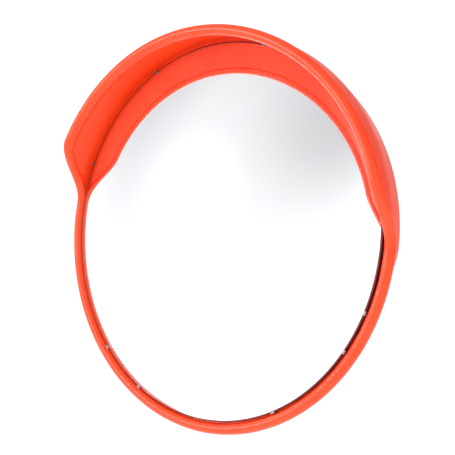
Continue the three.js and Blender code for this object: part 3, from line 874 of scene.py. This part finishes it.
def silvered():
    """Silvering that stops short of the mirror's edge; the band beyond is coloured dark red as painted shade,
    standing in for the shadowed groove between the frame's bead and the mirror.
    """
    finish = Finish("silvered_mirror", (0.975, 0.966, 1.0), 0.02, 1.0)
    film = finish.noise(9, 5)
    silver = finish.ramp(film, (0.4, (0.968, 0.96, 0.998)), (0.6, (0.98, 0.972, 1.0)))
    flat = finish.add("ShaderNodeVectorMath", Vector=finish.place)
    flat.operation = "MULTIPLY"
    flat.inputs[1].default_value = (1, 0, 1)
    length = finish.tree.nodes.new("ShaderNodeVectorMath")
    length.operation = "LENGTH"
    finish.tree.links.new(flat.outputs["Vector"], length.inputs[0])
    # Painted shade: past 209.5 mm the rim band turns dark red and unsilvered, in place of the shadow in the
    # groove at the mirror's edge.
    edge = finish.spread(length.outputs["Value"], 0.0, 1.0, 209.1 * MM, 209.5 * MM)
    finish.drive("Base Color", finish.mixed(edge, silver, (0.15, 0.011, 0.008)))
    finish.drive("Metallic", finish.spread(edge, 1.0, 0.0, 0.0, 1.0))
    worn = finish.spread(film, 0.008, 0.03, 0.4, 0.65)
    rough = finish.add("ShaderNodeMath", Value=worn)
    rough.operation = "MAXIMUM"
    finish.tree.links.new(finish.spread(edge, 0.0, 0.5, 0.0, 1.0), rough.inputs[1])
    finish.drive("Roughness", rough.outputs[0])
    return finish.material


def black_rubber():
    finish = Finish("black_rubber", (0.02, 0.02, 0.022), 0.8)
    grain = finish.noise(420, 4)
    bloom = finish.noise(30, 4)
    tint = finish.ramp(bloom, (0.35, (0.013, 0.013, 0.014)), (0.7, (0.035, 0.034, 0.033)))
    finish.drive("Base Color", tint)
    finish.drive("Roughness", finish.spread(grain, 0.68, 0.9))
    finish.bump((grain, 0.35, 0.12))
    return finish.material


def galvanised():
    finish = Finish("galvanised_steel", (0.55, 0.57, 0.58), 0.42, 0.85)
    colour, distance = finish.cells(140)
    spangle = finish.add("ShaderNodeRGBToBW", Color=colour).outputs["Val"]
    dark, middle, light = (0.42, 0.44, 0.46), (0.53, 0.55, 0.565), (0.66, 0.68, 0.69)
    steel = finish.ramp(spangle, (0.1, dark), (0.5, middle), (0.9, light))
    chalk = finish.spread(finish.noise(38, 6), 0.0, 0.5, 0.55, 0.75)
    chalky = finish.mixed(chalk, steel, (0.62, 0.63, 0.62))
    finish.drive("Base Color", chalky)
    finish.drive("Roughness", finish.spread(spangle, 0.34, 0.56, 0.1, 0.9))
    finish.bump((distance, 0.12, 0.1), (finish.noise(260, 4), 0.12, 0.1))
    return finish.material


def zinc_plated():
    finish = Finish("zinc_fasteners", (0.72, 0.73, 0.75), 0.3, 1.0)
    haze = finish.noise(120, 4)
    bluish, plain, yellowish = (0.60, 0.62, 0.67), (0.74, 0.75, 0.76), (0.76, 0.74, 0.68)
    finish.drive("Base Color", finish.ramp(haze, (0.3, bluish), (0.5, plain), (0.7, yellowish)))
    finish.drive("Roughness", finish.spread(finish.noise(300, 4), 0.22, 0.4))
    finish.bump((finish.noise(900, 3), 0.15, 0.04))
    return finish.material


def stainless_steel():
    finish = Finish("stainless_screws", (0.4, 0.38, 0.38), 0.4, 1.0)
    grain = finish.noise(700, 3, stretch=(1, 0.08, 1))
    finish.drive("Base Color", finish.ramp(grain, (0.3, (0.30, 0.28, 0.28)), (0.7, (0.44, 0.42, 0.42))))
    finish.drive("Roughness", finish.spread(grain, 0.32, 0.48))
    finish.bump((grain, 0.1, 0.03))
    return finish.material


def pale_floor():
    """A plain floor that lights itself a little, most of all below the mirror."""
    finish = Finish("pale_floor", (0.45, 0.45, 0.45), 0.9, Emission_Color=(1, 1, 1, 1))
    finish.drive("Roughness", finish.spread(finish.noise(3), 0.85, 0.95))
    away = finish.tree.nodes.new("ShaderNodeVectorMath")
    away.operation = "LENGTH"
    finish.tree.links.new(finish.place, away.inputs[0])
    finish.drive("Emission Strength", finish.spread(away.outputs["Value"], 1.15, 0.70, 0.8, 2.6))
    return finish.material


# ---- Stage, light and camera ----
CAMERA_AZIMUTH, CAMERA_ELEVATION, CAMERA_ROLL = 38.07, 1.48, 7.75
CAMERA_DISTANCE = 8.68 * RIM
CAMERA_LENS = 139.18
AIM_RIGHT, AIM_UP = 0.0110 * RIM, 0.0187 * RIM


def camera():
    data = bpy.data.cameras.new("camera")
    data.lens, data.sensor_width, data.clip_start = CAMERA_LENS, 36, 0.05
    made = new_object("camera", data)
    azimuth, elevation, roll = (math.radians(a) for a in (CAMERA_AZIMUTH, CAMERA_ELEVATION, CAMERA_ROLL))
    level = math.cos(elevation)
    back = Vector((math.sin(azimuth) * level, -math.cos(azimuth) * level, math.sin(elevation)))
    right = Vector((math.cos(azimuth), math.sin(azimuth), 0))
    up = back.cross(right)
    target = Vector((0, FACE_Y, 0)) + right * AIM_RIGHT + up * AIM_UP
    turned_right = right * math.cos(roll) + up * math.sin(roll)
    turned_up = up * math.cos(roll) - right * math.sin(roll)
    turn = Matrix((turned_right, turned_up, back)).transposed()
    made.matrix_world = Matrix.Translation(target + back * CAMERA_DISTANCE) @ turn.to_4x4()
    bpy.context.scene.camera = made


# The white surroundings: an even part, and soft lights and shades by direction, strength and sharpness.
STUDIO_BASE = 0.80
STUDIO = [
    ((-0.62, 0.79, 0.0), 0.66, 26),
    ((-0.62, -0.79, 0.0), 0.32, 1.6),
    ((0.63, -0.75, -0.15), 0.34, 5),
    ((-0.93, 0.30, -0.15), 0.30, 9),
    ((-0.60, -0.79, 0.06), 13.0, 60),
    ((0.92, -0.20, 0.25), 1.2, 7),
    ((0.22, -0.76, 0.62), -0.22, 6),
    ((-0.93, 0.00, 0.40), -0.22, 10),
    ((0.60, 0.60, 0.40), -0.84, 2.2),
]


def world():
    made = bpy.data.worlds.new("studio")
    bpy.context.scene.world = made
    made.use_nodes = True
    nodes, link = made.node_tree.nodes, made.node_tree.links.new
    direction = nodes.new("ShaderNodeTexCoord").outputs["Generated"]

    def calculated(operation, first, *more):
        node = nodes.new("ShaderNodeMath")
        node.operation = operation
        link(first, node.inputs[0])
        for socket, value in zip(node.inputs[1:], more):
            if isinstance(value, bpy.types.NodeSocket):
                link(value, socket)
            else:
                socket.default_value = value
        return node.outputs[0]

    total = None
    for towards, strength, sharpness in STUDIO:
        dot = nodes.new("ShaderNodeVectorMath")
        dot.operation = "DOT_PRODUCT"
        link(direction, dot.inputs[0])
        dot.inputs[1].default_value = Vector(towards).normalized()
        lobe = calculated("EXPONENT", calculated("MULTIPLY_ADD", dot.outputs["Value"], sharpness, -sharpness))
        lobe = calculated("MULTIPLY", lobe, strength)
        total = calculated("ADD", total, lobe) if total else lobe
    background = nodes["Background"]
    background.inputs["Color"].default_value = (1, 1, 1, 1)
    link(calculated("ADD", total, STUDIO_BASE), background.inputs["Strength"])


def stage():
    half, depth = 14, -0.6
    corners = [(-half, -half, depth), (half, -half, depth), (half, half, depth), (-half, half, depth)]
    floor = new_mesh("floor", corners, [(0, 1, 2, 3)])
    floor.data.materials.append(pale_floor())
    world()


# ---- Everything together ----
bpy.context.scene.view_settings.view_transform = "Standard"
finishes = {
    "orange_moulding": orange_plastic(),
    "silvered_mirror": silvered(),
    "black_rubber": black_rubber(),
    "galvanised_steel": galvanised(),
    "zinc_fasteners": zinc_plated(),
    "stainless_screws": stainless_steel(),
}
for name, node in frame["nodes"].items():
    node.data.materials.clear()
    node.data.materials.append(finishes[slot_of_node[name]])

hooded_frame(finishes["orange_moulding"])
mirror_dome(finishes["silvered_mirror"])
retaining_clips(finishes["stainless_screws"])
back_cover(finishes["orange_moulding"])
mirror_bracket(finishes["galvanised_steel"])
knuckle(finishes["galvanised_steel"])
clamp_saddle(finishes["galvanised_steel"])
clamp_strap(finishes["galvanised_steel"])
for liner, start_degrees in (("pole_liner_front", 187.2), ("pole_liner_rear", 7.2)):
    pole_liner(liner, start_degrees, finishes["black_rubber"])
fasteners(finishes["zinc_fasteners"], finishes["stainless_screws"])
stage()
camera()
